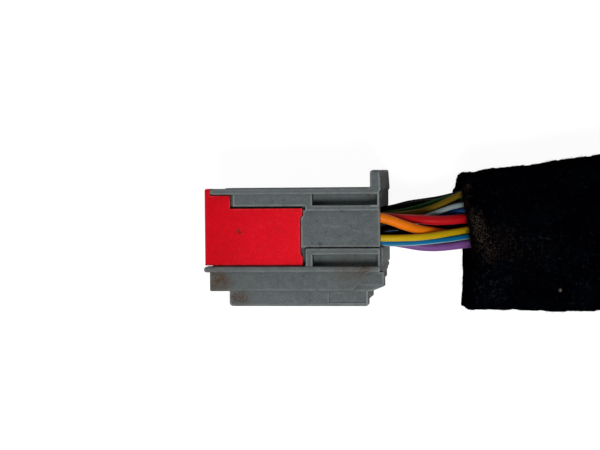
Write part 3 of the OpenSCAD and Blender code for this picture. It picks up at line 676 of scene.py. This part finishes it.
def red_plastic():
    g = Graph("lock_plastic")
    broad = g.ramp(g.noise(70, 3), 0.3, 0.7, 0.94, 1.06)
    cloud = g.ramp(g.noise(700, 3, 0.6), 0.35, 0.65, 0.95, 1.05)
    grain = g.ramp(g.noise(2300, 3, 0.65), 0.35, 0.65, 0.88, 1.12)
    texture = g.math("MULTIPLY", g.math("MULTIPLY", broad, grain), cloud)
    # painted light: the red is darker at the mating face and lighter toward the rear
    painted_light_gradient = g.ramp(g.axis("X"), at(0, 0, 0).x, at(24, 0, 0).x)
    tone = g.shade(g.mix(painted_light_gradient, (0.56, 0.0015, 0.009), (0.69, 0.0045, 0.014)), texture)
    smear = g.math("MULTIPLY", g.ramp(g.noise(900, 4, 0.7), 0.56, 0.72, 0.0, 0.16),
                   g.ramp(g.noise(120, 2), 0.4, 0.6))
    tone = g.mix(smear, tone, (0.72, 0.07, 0.09))
    # painted shade in each inner corner, darkening the red
    tone = g.mix(g.corners(1.4 * MM, 0.75, 0.2, 0.75), tone, (0.05, 0.004, 0.004))
    pit = g.spots([(at(9, 18.9, 13.6), 1.1 * MM, 0.85), (at(3.4, 18.2, 13.6), 0.5 * MM, 0.5),
                   (at(18.8, 13.6, 13.6), 0.35 * MM, 0.5)], g.ramp(g.noise(1200, 3), 0.35, 0.6))
    tone = g.mix(pit, tone, (0.12, 0.012, 0.012))
    # edges painted lighter, partly rubbed wear and partly a painted highlight
    edge_wear_and_highlight = g.edges(0.5 * MM, 0.97, 0.7, 0.45, g.ramp(g.noise(700, 3), 0.38, 0.6, 0.2, 1.0))
    tone = g.mix(edge_wear_and_highlight, tone, (0.78, 0.05, 0.055))
    edge = g.add("Bevel", {"Radius": EDGE_RADIUS}, samples=6).outputs["Normal"]
    height = g.math("ADD", g.noise(2400, 3, 0.6), g.math("MULTIPLY", g.noise(180, 2), 1.5))
    rough = g.ramp(g.noise(500, 3), 0.3, 0.7, 0.42, 0.54)
    return g.finish(Base_Color=tone, Roughness=rough, Normal=g.bump(height, 0.2, 0.06 * MM, edge),
                    Specular_IOR_Level=0.05)


def metal(name, colour, roughness):
    g = Graph(name)
    tone = g.shade(colour, g.ramp(g.noise(1400, 4, 0.6, (0.2, 1, 1)), 0.3, 0.7, 0.75, 1.1))
    rough = g.ramp(g.noise(900, 3), 0.3, 0.7, roughness - 0.06, roughness + 0.08)
    normal = g.bump(g.noise(2600, 2, 0.5, (0.15, 1, 1)), 0.2, 0.04 * MM)
    return g.finish(Base_Color=tone, Metallic=1.0, Roughness=rough, Normal=normal)


def paint(node, material):
    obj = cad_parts[node]
    obj.data.materials.clear()
    obj.data.materials.append(material)


tin = metal("terminal_tin", (0.55, 0.54, 0.5), 0.34)
copper = metal("copper", (0.82, 0.36, 0.2), 0.3)
paint("housing", grey_plastic())
paint("lock", red_plastic())
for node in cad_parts:
    if node.startswith("terminal_"):
        paint(node, tin)

# ---------- everything rides on its body ----------

for key, piece in wire_pieces.items():
    diameter = WIRES[key][2] * MM
    bare = strands("copper_strands_" + key, wire_paths[key], diameter / 2)
    bare.data.materials.append(copper)
    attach(bare, "connector")
    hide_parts("wire_" + key)
    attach(piece, "connector")
    path = wire_paths[key]
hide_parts("wrap")
for piece in (fleece, fuzz, lint, pale, fringe):
    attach(piece, "connector")

# ---------- floor, lights ----------


def floor_material():
    g = Graph("studio_floor")
    tone = g.mix(g.ramp(g.noise(3, 2), 0.3, 0.7, 0.0, 1.0), (0.80, 0.80, 0.80), (0.82, 0.82, 0.82))
    diffuse = g.add("BsdfDiffuse", {"Color": tone})
    faint = g.add("BsdfDiffuse", {"Color": (0.20, 0.20, 0.20, 1)})
    white = g.add("Emission", {"Color": (1, 1, 1, 1), "Strength": 0.92})
    seen = g.add("AddShader")
    g.tree.links.new(faint.outputs[0], seen.inputs[0])
    g.tree.links.new(white.outputs[0], seen.inputs[1])
    camera_ray = g.add("LightPath").outputs["Is Camera Ray"]
    both = g.add("MixShader")
    g.tree.links.new(camera_ray, both.inputs[0])
    g.tree.links.new(diffuse.outputs[0], both.inputs[1])
    g.tree.links.new(seen.outputs[0], both.inputs[2])
    g.tree.links.new(both.outputs[0], g.output.inputs["Surface"])
    return g.material


FLOOR_HALF, FLOOR_DROP = 3.0, 0.02 * MM
floor = mesh_object("studio_floor",
                    [(x * FLOOR_HALF, y * FLOOR_HALF, 0) for x, y in ((-1, -1), (1, -1), (1, 1), (-1, 1))],
                    [(0, 1, 2, 3)], smooth=False)
floor.location.z = -FLOOR_DROP
floor.data.materials.append(floor_material())


def area_light(name, place, size, power, target, colour=(1, 1, 1)):
    data = bpy.data.lights.new(name, "AREA")
    data.shape, data.size, data.energy, data.color = "SQUARE", size, power, colour
    light = bpy.data.objects.new(name, data)
    light.location = place
    light.rotation_euler = (Vector(target) - Vector(place)).to_track_quat("-Z", "Y").to_euler()
    bpy.context.scene.collection.objects.link(light)


middle = at(40, 17, 0)
area_light("key", (0.12, -0.31, 0.62), 0.26, 3.55, middle)
area_light("fill", (-0.50, 0.20, 0.30), 0.40, 1.0, middle)

# dark overhead and bright low down, so flat faces do not mirror a white sky at the camera
world = bpy.data.worlds.new("studio")
world.use_nodes = True
nodes, links = world.node_tree.nodes, world.node_tree.links
background = nodes["Background"]
background.inputs["Color"].default_value = (1, 1, 1, 1)
direction = nodes.new("ShaderNodeSeparateXYZ")
links.new(nodes.new("ShaderNodeTexCoord").outputs["Generated"], direction.inputs[0])
sky = nodes.new("ShaderNodeMapRange")
for socket, value in (("From Min", 0.45), ("From Max", 0.95), ("To Min", 0.42), ("To Max", 0.05)):
    sky.inputs[socket].default_value = value
links.new(direction.outputs["Z"], sky.inputs["Value"])
level = nodes.new("ShaderNodeMix")
level.inputs[3].default_value = 1.0
links.new(nodes.new("ShaderNodeLightPath").outputs["Is Camera Ray"], level.inputs[0])
links.new(sky.outputs["Result"], level.inputs[2])
links.new(level.outputs[0], background.inputs["Strength"])
bpy.context.scene.world = world
bpy.context.scene.view_settings.view_transform = "Standard"
